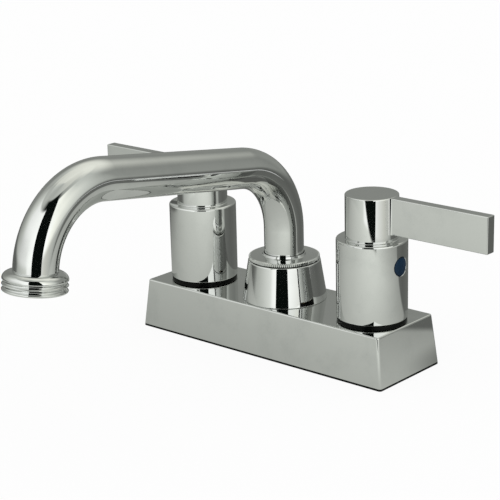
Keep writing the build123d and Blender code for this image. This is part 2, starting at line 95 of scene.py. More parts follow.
def applyModifier(piece, kind, **settings):
    selectOnly(piece)
    modifier = piece.modifiers.new(kind.title(), kind)
    for key, value in settings.items():
        setattr(modifier, key, value)
    bpy.ops.object.modifier_apply(modifier=modifier.name)


def combine(piece, tool, operation):
    # Cuts, joins or keeps the common part, and clears the tool away
    applyModifier(piece, "BOOLEAN", operation=operation, solver="EXACT", object=tool)
    bpy.data.objects.remove(tool, do_unlink=True)


def applyPlace():
    # Puts place, turn and scale of the selected object into its mesh
    bpy.ops.object.transform_apply(location=True, rotation=True, scale=True)


def newPiece(name):
    # Names the primitive that was just added
    piece = bpy.context.object
    piece.name = name
    applyPlace()
    return piece


def addBlock(name, low, high):
    startClean()
    bpy.ops.mesh.primitive_cube_add(size=1, location=(low + high) / 2, scale=high - low)
    return newPiece(name)


def addRod(name, radius, low, high, sides, middle=(0, 0)):
    startClean()
    centre = (middle[0], middle[1], (low + high) / 2)
    bpy.ops.mesh.primitive_cylinder_add(vertices=sides, radius=radius, depth=high - low, location=centre)
    return newPiece(name)


def addCrossRod(name, radius, start, end, height, sides):
    # Rod along X
    startClean()
    centre = ((start + end) / 2, 0, height)
    bpy.ops.mesh.primitive_cylinder_add(vertices=sides, radius=radius, depth=end - start, location=centre,
                                        rotation=(0, pi / 2, 0))
    return newPiece(name)


def turnProfile(name, profile, sides, middle=(0, 0), ends="bridge"):
    # Draws a circle out ring by ring along (radius, height), as on a lathe
    startClean()
    radius, height = profile[0]
    bpy.ops.mesh.primitive_circle_add(vertices=sides, radius=radius, location=(middle[0], middle[1], height))
    piece = newPiece(name)
    bpy.ops.object.mode_set(mode="EDIT")
    bpy.ops.mesh.select_all(action="SELECT")
    for nextRadius, nextHeight in profile[1:]:
        bpy.ops.mesh.extrude_region_move(TRANSFORM_OT_translate={"value": (0, 0, nextHeight - height)})
        grow = nextRadius / radius
        bpy.ops.transform.resize(value=(grow, grow, 1), center_override=(middle[0], middle[1], nextHeight))
        radius, height = nextRadius, nextHeight
    if ends == "poles":
        bpy.ops.mesh.merge(type="CENTER")
        bpy.ops.mesh.select_non_manifold()
        bpy.ops.mesh.merge(type="CENTER")
    else:
        bpy.ops.mesh.select_all(action="DESELECT")
        bpy.ops.mesh.select_non_manifold()
        bpy.ops.mesh.bridge_edge_loops()
    bpy.ops.object.mode_set(mode="OBJECT")
    return piece


def roundRing(piece, radius, height, rounding, middle=(0, 0)):
    # Rounds a circular edge, outside or inside corner alike; rounding is (width, steps)
    width, steps = rounding
    editOnly(piece)
    pickVerts(piece, lambda point: abs(point.z - height) < near
              and abs(hypot(point.x - middle[0], point.y - middle[1]) - radius) < near)
    bpy.ops.mesh.bevel(offset=width, segments=steps, affect="EDGES")
    bpy.ops.object.mode_set(mode="OBJECT")


def finishMesh(piece, sharpAngle=35):
    editOnly(piece)
    bpy.ops.mesh.select_all(action="SELECT")
    bpy.ops.mesh.remove_doubles(threshold=near / 20)
    bpy.ops.mesh.normals_make_consistent(inside=False)
    bpy.ops.object.mode_set(mode="OBJECT")
    bpy.ops.object.shade_smooth_by_angle(angle=radians(sharpAngle))
    applyModifier(piece, "WEIGHTED_NORMAL", keep_sharp=True)


def place(piece, body, slotName, *nodes):
    # Hands a finished piece to its body, with the finish of its slot
    piece.data.materials.clear()
    piece.data.materials.append(finishes[slotName])
    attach(piece, body)
    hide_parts(*nodes)


def halfTurn(piece, name):
    # Own copy of a piece, turned half round the middle of the base
    copy = piece.copy()
    copy.data = piece.data.copy()
    copy.name = name
    bpy.context.scene.collection.objects.link(copy)
    copy.data.transform(Matrix.Rotation(pi, 4, "Z"))
    return copy


def placePair(piece, name, group, slotName, node):
    # One piece on each side: the hot one is the cold one turned half round
    twin = halfTurn(piece, "hot" + name)
    piece.name = "cold" + name
    place(piece, group.replace("side", "cold"), slotName, "cold_" + node)
    place(twin, group.replace("side", "hot"), slotName, "hot_" + node)


# Shader helpers

class Wire:
    # One socket of a node tree, ready for sums

    def __init__(self, tree, socket=None):
        self.tree = tree
        self.socket = socket

    def node(self, kind, settings=None, sockets=None, output=0):
        # Any node: its settings go in first, then the values or links of its sockets
        made = self.tree.nodes.new(kind)
        for key, value in (settings or {}).items():
            if key == "stops":
                setStops(made.color_ramp, value)
            else:
                setattr(made, key, value)
        for key, value in (sockets or {}).items():
            if isinstance(value, Wire):
                self.tree.links.new(value.socket, made.inputs[key])
            else:
                made.inputs[key].default_value = value
        return Wire(self.tree, made.outputs[output] if len(made.outputs) else None)

    def sum(self, operation, first, second):
        return self.node("ShaderNodeMath", {"operation": operation}, {0: first, 1: second})

    def __add__(self, other):
        return self.sum("ADD", self, other)

    def __radd__(self, other):
        return self.sum("ADD", other, self)

    def __sub__(self, other):
        return self.sum("SUBTRACT", self, other)

    def __rsub__(self, other):
        return self.sum("SUBTRACT", other, self)

    def __mul__(self, other):
        return self.sum("MULTIPLY", self, other)

    def __rmul__(self, other):
        return self.sum("MULTIPLY", other, self)

    def __truediv__(self, other):
        return self.sum("DIVIDE", self, other)


def setStops(ramp, stops):
    # Stops are (position, colour) from left to right
    while len(ramp.elements) > 1:
        ramp.elements.remove(ramp.elements[-1])
    for index, (position, colour) in enumerate(stops):
        element = ramp.elements[0] if index == 0 else ramp.elements.new(position)
        element.position = position
        element.color = (*colour, 1)


def grey(level, tint=(1, 1, 1)):
    return tuple(level * part for part in tint)


def newMaterial(name):
    material = bpy.data.materials.new(name)
    material.use_nodes = True
    material.node_tree.nodes.clear()
    return material, Wire(material.node_tree)


def softStep(desk, value, low, high):
    # 0 below low, 1 above high, smooth between
    return desk.node("ShaderNodeMapRange", {"interpolation_type": "SMOOTHSTEP"},
                     {0: value, 1: low, 2: high, 3: 0.0, 4: 1.0})


def blendColour(desk, factor, first, second):
    return desk.node("ShaderNodeMix", {"data_type": "RGBA"}, {0: factor, 6: first, 7: second}, output=2)


def noise(desk, spot, scale, detail, roughness=0.5):
    return desk.node("ShaderNodeTexNoise", {}, {"Vector": spot, "Scale": scale, "Detail": detail,
                                                "Roughness": roughness})


def bump(desk, height, distance):
    return desk.node("ShaderNodeBump", {}, {"Height": height, "Distance": distance, "Strength": 1.0})


def principled(desk, sockets):
    shader = desk.node("ShaderNodeBsdfPrincipled", {}, sockets)
    desk.node("ShaderNodeOutputMaterial", {}, {"Surface": shader})


# Finishes: a pattern is (scale, detail, roughness), its edges are where it starts and is full,
# and polish is the roughness that the cleanest spots have

def chromePlate():
    # Bright plating: near mirror, with faint polishing ripple and wiped haze
    look = {"light": (0.655, 0.665, 0.655, 1), "dark": (0.60, 0.612, 0.603, 1), "haze": (60.0, 5.0, 0.62),
            "hazeEdges": (0.45, 0.75), "ripple": (38.0, 1.0, 0.4), "rippleDepth": 0.012 * mm,
            "mirror": 0.035, "hazed": 0.075}
    material, desk = newMaterial("chromePlate")
    spot = desk.node("ShaderNodeTexCoord", output="Object")
    haze = noise(desk, spot, *look["haze"])
    hazeMask = softStep(desk, haze, *look["hazeEdges"])
    ripple = noise(desk, spot, *look["ripple"])
    colour = blendColour(desk, hazeMask, look["light"], look["dark"])
    roughness = look["mirror"] + hazeMask * (look["hazed"] - look["mirror"])
    principled(desk, {"Base Color": colour, "Metallic": 1.0, "Roughness": roughness,
                      "Normal": bump(desk, ripple, look["rippleDepth"])})
    return material


def castBrass():
    look = {"light": (0.70, 0.52, 0.24, 1), "dark": (0.50, 0.35, 0.14, 1), "stain": (90.0, 4.0),
            "stainEdges": (0.40, 0.70), "grain": (900.0, 2.0), "grainDepth": 0.02 * mm, "polish": 0.30,
            "stained": 0.18}
    material, desk = newMaterial("castBrass")
    spot = desk.node("ShaderNodeTexCoord", output="Object")
    stain = softStep(desk, noise(desk, spot, *look["stain"]), *look["stainEdges"])
    grain = noise(desk, spot, *look["grain"])
    principled(desk, {"Base Color": blendColour(desk, stain, look["light"], look["dark"]), "Metallic": 1.0,
                      "Roughness": look["polish"] + look["stained"] * stain,
                      "Normal": bump(desk, grain, look["grainDepth"])})
    return material


def drawnCopper():
    look = {"light": (0.80, 0.46, 0.30, 1), "dark": (0.52, 0.26, 0.16, 1), "stretch": (12.0, 220.0, 220.0),
            "streak": (4.0, 3.0), "streakEdges": (0.38, 0.70), "polish": 0.26, "streaked": 0.16}
    material, desk = newMaterial("drawnCopper")
    spot = desk.node("ShaderNodeTexCoord", output="Object")
    along = desk.node("ShaderNodeMapping", {}, {"Vector": spot, "Scale": look["stretch"]})
    streak = softStep(desk, noise(desk, along, *look["streak"]), *look["streakEdges"])
    principled(desk, {"Base Color": blendColour(desk, streak, look["light"], look["dark"]), "Metallic": 1.0,
                      "Roughness": look["polish"] + look["streaked"] * streak})
    return material


def platedSteel():
    look = {"light": (0.63, 0.63, 0.61, 1), "dark": (0.46, 0.47, 0.47, 1), "spangleScale": 420.0,
            "spangleEdges": (0.15, 0.75), "spangleDepth": 0.01 * mm, "polish": 0.28, "dulled": 0.15}
    material, desk = newMaterial("platedSteel")
    spot = desk.node("ShaderNodeTexCoord", output="Object")
    spangle = desk.node("ShaderNodeTexVoronoi", {}, {"Vector": spot, "Scale": look["spangleScale"]})
    dull = softStep(desk, spangle, *look["spangleEdges"])
    principled(desk, {"Base Color": blendColour(desk, dull, look["light"], look["dark"]), "Metallic": 1.0,
                      "Roughness": look["polish"] + look["dulled"] * dull,
                      "Normal": bump(desk, spangle, look["spangleDepth"])})
    return material


def mouldedRubber():
    look = {"dark": (0.0022, 0.0030, 0.0024, 1), "dusty": (0.0055, 0.0062, 0.0056, 1), "dust": (130.0, 4.0),
            "dustEdges": (0.48, 0.80), "grain": (1400.0, 2.0), "grainDepth": 0.012 * mm, "shine": 0.07,
            "polish": 0.30, "dusted": 0.22}
    material, desk = newMaterial("mouldedRubber")
    spot = desk.node("ShaderNodeTexCoord", output="Object")
    dust = softStep(desk, noise(desk, spot, *look["dust"]), *look["dustEdges"])
    grain = noise(desk, spot, *look["grain"])
    principled(desk, {"Base Color": blendColour(desk, dust, look["dark"], look["dusty"]),
                      "Specular IOR Level": look["shine"], "Roughness": look["polish"] + look["dusted"] * dust,
                      "Normal": bump(desk, grain, look["grainDepth"])})
    return material


def lappedCeramic():
    look = {"light": (0.88, 0.87, 0.83, 1), "dark": (0.80, 0.79, 0.75, 1), "cloud": (240.0, 3.0),
            "cloudEdges": (0.40, 0.72), "polish": 0.20, "clouded": 0.12}
    material, desk = newMaterial("lappedCeramic")
    spot = desk.node("ShaderNodeTexCoord", output="Object")
    cloud = softStep(desk, noise(desk, spot, *look["cloud"]), *look["cloudEdges"])
    principled(desk, {"Base Color": blendColour(desk, cloud, look["light"], look["dark"]),
                      "Roughness": look["polish"] + look["clouded"] * cloud})
    return material


def mouldedPlastic(name, light, dark, polish, shine=0.5):
    look = {"cloud": (160.0, 4.0), "cloudEdges": (0.38, 0.72), "clouded": 0.10, "grain": (1600.0, 2.0),
            "grainDepth": 0.015 * mm}
    material, desk = newMaterial(name)
    spot = desk.node("ShaderNodeTexCoord", output="Object")
    cloud = softStep(desk, noise(desk, spot, *look["cloud"]), *look["cloudEdges"])
    grain = noise(desk, spot, *look["grain"])
    principled(desk, {"Base Color": blendColour(desk, cloud, light, dark),
                      "Roughness": polish + look["clouded"] * cloud, "Specular IOR Level": shine,
                      "Normal": bump(desk, grain, look["grainDepth"])})
    return material


finishes = {
    "chrome_plate": chromePlate(),
    "cast_brass": castBrass(),
    "copper_tube": drawnCopper(),
    "plated_steel": platedSteel(),
    "black_rubber": mouldedRubber(),
    "white_ceramic": lappedCeramic(),
    "black_plastic": mouldedPlastic("blackNylon", (0.028, 0.028, 0.029, 1), (0.045, 0.045, 0.046, 1), 0.42),
    "white_plastic": mouldedPlastic("whiteAcetal", (0.86, 0.86, 0.83, 1), (0.78, 0.78, 0.74, 1), 0.34),
    "blue_index": mouldedPlastic("blueIndex", (0.0050, 0.021, 0.046, 1), (0.0035, 0.015, 0.034, 1), 0.16, 0.17),
    "red_index": mouldedPlastic("redIndex", (0.33, 0.022, 0.020, 1), (0.24, 0.014, 0.014, 1), 0.16, 0.3),
}
print("finishes made:", len(finishes))

slotOf = {part["node"]: part["material_slot"] for part in record["subparts"]}
for nodeName, node in frame["nodes"].items():
    node.data.materials.clear()
    node.data.materials.append(finishes[slotOf[nodeName]])


# Base cover and gasket

coverSizes = {"wall": 2.0 * mm, "endTaper": 2.7 * mm, "frontTaper": 1.65 * mm, "cornerRadius": 1.3 * mm,
              "edgeRadius": 0.7 * mm, "valveHole": 12.4 * mm, "spoutHole": 13.4 * mm, "steps": 6, "sides": 96}
gasketSizes = {"cornerRadius": 1.3 * mm, "cornerSteps": 5, "edgeRadius": 0.22 * mm, "edgeSteps": 3,
               "hole": 10.95 * mm}
coverLow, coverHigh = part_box("base_cover")
handleX = (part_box("cold_handle_ring")[0].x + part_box("cold_handle_ring")[1].x) / 2


def taperedBlock(name, low, high):
    # Block whose sides lean inwards, its leaning corners rounded
    size = coverSizes
    block = addBlock(name, low, high)
    across = high - low
    editOnly(block)
    pickVerts(block, lambda point: point.z > high.z - near)
    shrink = (1 - 2 * size["endTaper"] / across.x, 1 - 2 * size["frontTaper"] / across.y, 1)
    bpy.ops.transform.resize(value=shrink, center_override=(0, 0, high.z))
    pickEdges(block, lambda one, two: abs(one.z - two.z) > near)
    bpy.ops.mesh.bevel(offset=size["cornerRadius"], segments=size["steps"], affect="EDGES")
    bpy.ops.object.mode_set(mode="OBJECT")
    return block


def baseCover():
    size = coverSizes
    cover = taperedBlock("baseCover", coverLow, coverHigh)
    editOnly(cover)
    pickEdges(cover, lambda one, two: min(one.z, two.z) > coverHigh.z - near)
    bpy.ops.mesh.bevel(offset=size["edgeRadius"], segments=size["steps"], affect="EDGES")
    bpy.ops.object.mode_set(mode="OBJECT")
    inset = Vector((size["wall"], size["wall"], 0))
    drop = Vector((0, 0, size["wall"]))
    hollow = taperedBlock("hollow", coverLow + inset, coverHigh - inset - drop)
    editOnly(hollow)
    pickVerts(hollow, lambda point: point.z < coverLow.z + near)
    bpy.ops.transform.translate(value=(0, 0, -size["wall"]))
    bpy.ops.object.mode_set(mode="OBJECT")
    combine(cover, hollow, "DIFFERENCE")
    low, high = coverHigh.z - 2 * size["wall"], coverHigh.z + size["wall"]
    for across, radius in ((-handleX, size["valveHole"]), (0, size["spoutHole"]), (handleX, size["valveHole"])):
        combine(cover, addRod("drill", radius, low, high, size["sides"], (across, 0)), "DIFFERENCE")
    finishMesh(cover)
    place(cover, "base", "chrome_plate", "base_cover")


def deckGasket():
    size = gasketSizes
    low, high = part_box("deck_gasket")
    pad = addBlock("deckGasket", low, high)
    editOnly(pad)
    pickEdges(pad, lambda one, two: abs(one.z - two.z) > near)
    bpy.ops.mesh.bevel(offset=size["cornerRadius"], segments=size["cornerSteps"], affect="EDGES")
    pickEdges(pad, lambda one, two: min(one.z, two.z) > high.z - near)
    bpy.ops.mesh.bevel(offset=size["edgeRadius"], segments=size["edgeSteps"], affect="EDGES")
    bpy.ops.object.mode_set(mode="OBJECT")
    for across in (-handleX, handleX):
        drill = addRod("drill", size["hole"], low.z - mm, high.z + mm, coverSizes["sides"], (across, 0))
        combine(pad, drill, "DIFFERENCE")
    finishMesh(pad)
    place(pad, "base", "black_rubber", "deck_gasket")


baseCover()
deckGasket()
print("base made")


# Inlet shanks under the base

shankSizes = {"bore": 6.5 * mm, "chamfer": 1.0 * mm, "relief": (-26.0 * mm, -24.0 * mm),
              "reliefDepth": 1.0 * mm, "threadTop": -1.5 * mm, "pitch": 1.814 * mm, "ridge": 0.95 * mm,
              "steps": 8, "sides": 96, "sharpAngle": 50}


def threadRings(crest, start, end):
    # A run of rounded ridges, as near to the pitch as a whole number of them allows
    size = shankSizes
    count = size["steps"] * round((end - start) / size["pitch"])
    rings = []
    for step in range(count + 1):
        wave = (1 - cos(2 * pi * step / size["steps"])) / 2
        rings.append((crest - size["ridge"] * wave, start + (end - start) * step / count))
    return rings


def inletShank():
    size = shankSizes
    low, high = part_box("cold_inlet_shank")
    crest = (high.x - low.x) / 2
    reliefLow, reliefHigh = size["relief"]
    groove = crest - size["reliefDepth"]
    profile = [(size["bore"], low.z), (crest - size["chamfer"], low.z)]
    profile += threadRings(crest, low.z + size["chamfer"], reliefLow)
    profile += [(groove, reliefLow), (groove, reliefHigh)]
    profile += threadRings(crest, reliefHigh, size["threadTop"])
    profile += [(crest, high.z), (size["bore"], high.z)]
    shank = turnProfile("coldInletShank", profile, size["sides"], (handleX, 0))
    finishMesh(shank, size["sharpAngle"])
    placePair(shank, "InletShank", "base", "cast_brass", "inlet_shank")


inletShank()
print("shanks made")


# Handles: skirt and hub, lever, index button, ring under the skirt

handleSizes = {"skirtWall": 1.75 * mm, "hubHeight": 20.0 * mm, "hubRadius": 12.0 * mm, "ceiling": 4.0 * mm,
               "bossRadius": 6.9 * mm, "bossBottom": 45.0 * mm, "socketRadius": 4.05 * mm,
               "socketTop": 57.9 * mm, "skirtEdge": (0.9 * mm, 6), "skirtFoot": (0.5 * mm, 4),
               "hubEdge": (0.5 * mm, 5), "hubFoot": (0.35 * mm, 4), "indexHole": 4.15 * mm,
               "indexBevel": 0.4 * mm, "sides": 288}
leverSizes = {"edgeRadius": 0.4 * mm, "edgeSteps": 4, "braze": 0.03 * mm, "copeDepth": 4.0 * mm,
              "tenonThickness": 3.0 * mm, "tenonHeight": 10.0 * mm, "tenonOverlap": 3.0 * mm,
              "rootRadius": 1.8 * mm, "rootSides": 128}
indexSizes = {"radius": 4.1 * mm, "dome": 0.15 * mm, "shell": 1.6 * mm, "shellSides": 96,
              "edgeRadius": 0.2 * mm, "edgeSteps": 3, "rimShare": 0.98, "sides": 64}
ringSizes = {"wall": 1.3 * mm, "edge": (0.7 * mm, 3), "sides": 128}
handleLow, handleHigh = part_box("cold_handle")
leverLow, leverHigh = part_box("cold_lever")
indexHeight = sum(corner.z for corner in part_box("cold_index_button")) / 2
skirtRadius = (handleHigh.x - handleLow.x) / 2
skirtTop = handleHigh.z - handleSizes["hubHeight"]
coldMiddle = (handleX, 0)


def tenon(name, gap):
    # Tongue of the lever or, with a gap, the mortise in the hub
    size = leverSizes
    outside = handleX + handleSizes["hubRadius"] + size["tenonOverlap"]
    middle = Vector((outside, 0, (leverLow.z + leverHigh.z) / 2))
    across, upright = size["tenonThickness"] / 2 + gap, size["tenonHeight"] / 2
    low = Vector((leverLow.x - gap, -across, middle.z - upright - gap))
    high = Vector((middle.x, across, middle.z + upright + gap))
    return addBlock(name, low, high)


def indexDish():
    # Cutter for the bright bevel round the index hole, bent to the curve of the skirt
    size = handleSizes
    deep, wide = size["indexBevel"], size["indexHole"] + size["indexBevel"]
    start, face = handleX + skirtRadius - deep, handleX + skirtRadius
    dish = addCrossRod("dish", wide, start, face + near, indexHeight, indexSizes["sides"])
    editOnly(dish)
    pickVerts(dish, lambda point: point.x < face - near)
    narrow = size["indexHole"] / wide
    bpy.ops.transform.resize(value=(1, narrow, narrow), center_override=(start, 0, indexHeight))
    mesh = bmesh.from_edit_mesh(dish.data)
    for vert in mesh.verts:
        vert.co.x += (skirtRadius ** 2 - vert.co.y ** 2) ** 0.5 - skirtRadius
    bmesh.update_edit_mesh(dish.data)
    pickVerts(dish, lambda point: hypot(point.y, point.z - indexHeight) > wide - near)
    bpy.ops.mesh.extrude_region_move(TRANSFORM_OT_translate={"value": (deep, 0, 0)})
    bpy.ops.object.mode_set(mode="OBJECT")
    return dish


def handle():
    size = handleSizes
    hub, boss = size["hubRadius"], size["bossRadius"]
    bore = skirtRadius - size["skirtWall"]
    foot, ceiling = handleLow.z, skirtTop - size["ceiling"]
    # The small first ring and the last ring close to a point each
    body = turnProfile("coldHandle", [
        (hub / 4, handleHigh.z), (hub, handleHigh.z), (hub, skirtTop), (skirtRadius, skirtTop),
        (skirtRadius, foot), (bore, foot), (bore, ceiling), (boss, ceiling), (boss, size["bossBottom"]),
        (size["socketRadius"], size["bossBottom"]), (size["socketRadius"], size["socketTop"]),
    ], size["sides"], coldMiddle, "poles")
    roundRing(body, hub, handleHigh.z, size["hubEdge"], coldMiddle)
    roundRing(body, hub, skirtTop, size["hubFoot"], coldMiddle)
    roundRing(body, skirtRadius, skirtTop, size["skirtEdge"], coldMiddle)
    roundRing(body, skirtRadius, foot, size["skirtFoot"], coldMiddle)
    start, end = handleX + bore - mm, handleX + skirtRadius + mm
    drill = addCrossRod("drill", size["indexHole"], start, end, indexHeight, indexSizes["sides"])
    combine(body, drill, "DIFFERENCE")
    combine(body, indexDish(), "DIFFERENCE")
    combine(body, tenon("mortise", leverSizes["braze"]), "DIFFERENCE")
    finishMesh(body)
    placePair(body, "Handle", "side_handle_group", "chrome_plate", "handle")


def rootFillet(side):
    # Hollow corner between the flat of the lever and the hub: a block with a round cut out of it
    size = leverSizes
    hub, root, face = handleSizes["hubRadius"], size["rootRadius"], leverHigh.y
    across = ((hub + root) ** 2 - (face + root) ** 2) ** 0.5
    meet = hub / (hub + root)
    rows = sorted((side * (face - size["edgeRadius"]), side * (face + root) * meet))
    corner = addBlock("corner", Vector((handleX + across * meet - size["edgeRadius"], rows[0], leverLow.z)),
                      Vector((handleX + across, rows[1], leverHigh.z)))
    cutter = addRod("cutter", root, leverLow.z - mm, leverHigh.z + mm, size["rootSides"],
                    (handleX + across, side * (face + root)))
    combine(corner, cutter, "DIFFERENCE")
    return corner


def lever():
    size = leverSizes
    inside = Vector((handleX + handleSizes["hubRadius"] - size["copeDepth"], leverLow.y, leverLow.z))
    blade = addBlock("coldLever", inside, leverHigh)
    editOnly(blade)
    bpy.ops.mesh.select_all(action="SELECT")
    bpy.ops.mesh.bevel(offset=size["edgeRadius"], segments=size["edgeSteps"], affect="EDGES")
    bpy.ops.object.mode_set(mode="OBJECT")
    combine(blade, rootFillet(-1), "UNION")
    combine(blade, rootFillet(1), "UNION")
    cope = addRod("cope", handleSizes["hubRadius"] + size["braze"], leverLow.z - mm, leverHigh.z + mm,
                  handleSizes["sides"], coldMiddle)
    combine(blade, cope, "DIFFERENCE")
    combine(blade, tenon("tongue", 0), "UNION")
    finishMesh(blade)
    placePair(blade, "Lever", "side_handle_group", "chrome_plate", "lever")


def indexButton():
    size = indexSizes
    face = skirtRadius + size["dome"]
    end = handleX + face + mm
    plug = addCrossRod("coldIndexButton", size["radius"], handleX, end, indexHeight, size["sides"])
    low, high = indexHeight - 2 * size["radius"], indexHeight + 2 * size["radius"]
    combine(plug, addRod("outer", face, low, high, handleSizes["sides"], coldMiddle), "INTERSECT")
    inside = skirtRadius - size["shell"]
    combine(plug, addRod("inner", inside, low - mm, high + mm, size["shellSides"], coldMiddle), "DIFFERENCE")
    editOnly(plug)
    rim = size["radius"] * size["rimShare"]
    pickVerts(plug, lambda point: hypot(point.y, point.z - indexHeight) > rim
              and hypot(point.x - handleX, point.y) > face - 2 * near)
    bpy.ops.mesh.bevel(offset=size["edgeRadius"], segments=size["edgeSteps"], affect="EDGES")
    bpy.ops.object.mode_set(mode="OBJECT")
    finishMesh(plug)
    placePair(plug, "IndexButton", "side_handle_group", "blue_index", "index_button")
    red = bpy.data.objects["hotIndexButton"]
    red.data.materials[0] = finishes["red_index"]


def handleRing():
    size = ringSizes
    low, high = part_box("cold_handle_ring")
    outer = (high.x - low.x) / 2
    inner = outer - size["wall"]
    ring = turnProfile("coldHandleRing", [(inner, low.z), (outer, low.z), (outer, high.z), (inner, high.z)],
                       size["sides"], coldMiddle)
    roundRing(ring, outer, high.z, size["edge"], coldMiddle)
    finishMesh(ring)
    placePair(ring, "HandleRing", "base", "black_rubber", "handle_ring")


handle()
lever()
indexButton()
handleRing()
print("handles made")


# Spout bell, washer and knurled nut

bellSizes = {"topRadius": 16.8 * mm, "wall": 1.7 * mm, "topEdge": (0.55 * mm, 5), "footEdge": (0.45 * mm, 5),
             "sides": 256}
washerSizes = {"bore": 15.1 * mm, "sides": 128}
nutSizes = {"teeth": 112, "columns": 4, "toothDepth": 0.42 * mm, "runOut": 0.4 * mm, "runOutShare": 0.8,
            "rimReach": 1.45 * mm, "rimHeight": 1.35 * mm, "coneHeight": 1.65 * mm, "coneInset": 0.6 * mm,
            "bore": 9.5 * mm, "thread": 13.05 * mm, "skirt": 14.4 * mm, "ceilingDrop": 1.2 * mm,
            "crownRings": 7, "crownCurve": 1.25, "neckFoot": 10.35 * mm, "neckTop": 10.05 * mm,
            "neckHeight": 0.85 * mm, "underEdge": 0.3 * mm, "sharpAngle": 28}


def spoutBell():
    size = bellSizes
    low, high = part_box("spout_bell")
    foot, top = (high.x - low.x) / 2, size["topRadius"]
    bell = turnProfile("spoutBell", [(foot - size["wall"], low.z), (foot, low.z), (top, high.z),
                                     (top - size["wall"], high.z)], size["sides"])
    roundRing(bell, top, high.z, size["topEdge"])
    roundRing(bell, foot, low.z, size["footEdge"])
    finishMesh(bell)
    place(bell, "base", "chrome_plate", "spout_bell")


def bellWasher():
    low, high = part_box("bell_washer")
    outer = (high.x - low.x) / 2
    washer = turnProfile("bellWasher", [(washerSizes["bore"], low.z), (outer, low.z), (outer, high.z),
                                        (washerSizes["bore"], high.z)], washerSizes["sides"])
    finishMesh(washer)
    place(washer, "base", "black_rubber", "bell_washer")


def spoutNut():
    # Columns of faces make up each tooth. One line of vertices to a tooth is drawn in as a groove,
    # and the grooves run out on the crown
    size = nutSizes
    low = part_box("spout_nut")[0]
    rim = bellSizes["topRadius"] - bellSizes["wall"] + size["rimReach"]
    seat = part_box("bell_washer")[1].z
    rimTop = seat + size["rimHeight"]
    ceiling = seat - size["ceilingDrop"]
    shoulder = rim - size["coneInset"]
    profile = [(size["bore"], ceiling), (size["thread"], ceiling), (size["thread"], low.z),
               (size["skirt"], low.z), (size["skirt"], seat), (rim - size["underEdge"], seat),
               (rim, seat + size["underEdge"]), (rim, rimTop), (shoulder, rimTop + size["coneInset"] / 2)]
    span = shoulder - size["neckFoot"]
    rise = size["coneHeight"] - size["coneInset"] / 2 - size["neckHeight"]
    for step in range(1, size["crownRings"] + 1):
        share = 1 - step / size["crownRings"]
        profile.append((size["neckFoot"] + span * share,
                        rimTop + size["coneInset"] / 2 + rise * (1 - share ** size["crownCurve"])))
    profile += [(size["neckTop"], rimTop + size["coneHeight"]), (size["bore"], rimTop + size["coneHeight"])]
    nut = turnProfile("spoutNut", profile, size["columns"] * size["teeth"])
    editOnly(nut)
    turn = 2 * pi / size["teeth"]

    def onGroove(point):
        # Of the lines of vertices in a tooth, the one where the tooth starts
        share = Vector((point.x, point.y)).angle_signed(Vector((1, 0))) / turn % 1
        return abs(share - 0.5) > 0.4 and hypot(point.x, point.y) > shoulder - near

    for lowest, highest, depth in ((seat - near, rimTop + near, 1.0),
                                   (rimTop + near, rimTop + size["runOut"], size["runOutShare"])):
        pickVerts(nut, lambda point: lowest < point.z < highest and onGroove(point))
        pull = 1 - size["toothDepth"] * depth / rim
        bpy.ops.transform.resize(value=(pull, pull, 1), center_override=(0, 0, seat))
    bpy.ops.object.mode_set(mode="OBJECT")
    finishMesh(nut, size["sharpAngle"])
    place(nut, "base", "chrome_plate", "spout_nut")


spoutBell()
bellWasher()
spoutNut()
print("bell and nut made")


# Spout tube and outlet collar

tubeSizes = {"radius": 9.2 * mm, "wall": 1.0 * mm, "riserTop": 57.1 * mm, "firstBend": 34.4 * mm,
             "riseAngle": 8.75, "run": 85.1 * mm, "secondBend": 33.2 * mm, "secondAngle": 91.1,
             "tail": 3.9 * mm, "sides": 128, "bendSteps": 56}
collarSizes = {"length": 8.3 * mm, "middle": 5.25 * mm, "lip": 9.45 * mm, "crest": 13.3 * mm,
               "shoulder": 3.0 * mm, "firstCrest": 3.06 * mm, "pitch": 2.12 * mm, "ridge": 0.85 * mm,
               "ridgeCurve": 0.8, "ridges": 3, "mouth": 11.6 * mm, "mouthSteps": 6,
               "counterbore": 10.3 * mm, "counterboreDepth": 2.2 * mm, "socketDepth": 3.0 * mm,
               "socket": 9.23 * mm, "ringSteps": 12, "sides": 192, "sharpAngle": 50}


def spoutTube():
    # Straight runs are extruded and bends are spun, so the bends stay true arcs
    size = tubeSizes
    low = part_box("spout_tube")[0]
    startClean()
    bpy.ops.mesh.primitive_circle_add(vertices=size["sides"], radius=size["radius"], location=(0, 0, low.z))
    tube = newPiece("spoutTube")
    bpy.ops.object.mode_set(mode="EDIT")
    bpy.ops.mesh.select_all(action="SELECT")
    spot, heading = Vector((0, 0, low.z)), Vector((0, 0, 1))
    route = (("run", size["riserTop"] - low.z), ("bend", size["firstBend"], 90 - size["riseAngle"]),
             ("run", size["run"]), ("bend", size["secondBend"], size["secondAngle"]), ("run", size["tail"]))
    for kind, amount, *angle in route:
        if kind == "run":
            bpy.ops.mesh.extrude_region_move(TRANSFORM_OT_translate={"value": heading * amount})
            spot = spot + heading * amount
        else:
            inward = Vector((0, -heading.z, heading.y))
            centre = spot + inward * amount
            bpy.ops.mesh.spin(steps=size["bendSteps"], angle=-radians(angle[0]), center=centre, axis=(1, 0, 0))
            turn = Matrix.Rotation(radians(angle[0]), 3, "X")
            spot = centre + turn @ (spot - centre)
            heading = turn @ heading
    bpy.ops.mesh.select_all(action="SELECT")
    bpy.ops.mesh.normals_make_consistent(inside=False)
    bpy.ops.object.mode_set(mode="OBJECT")
    applyModifier(tube, "SOLIDIFY", thickness=size["wall"], offset=-1, use_even_offset=True)
    finishMesh(tube)
    place(tube, "spout", "chrome_plate", "spout_tube")


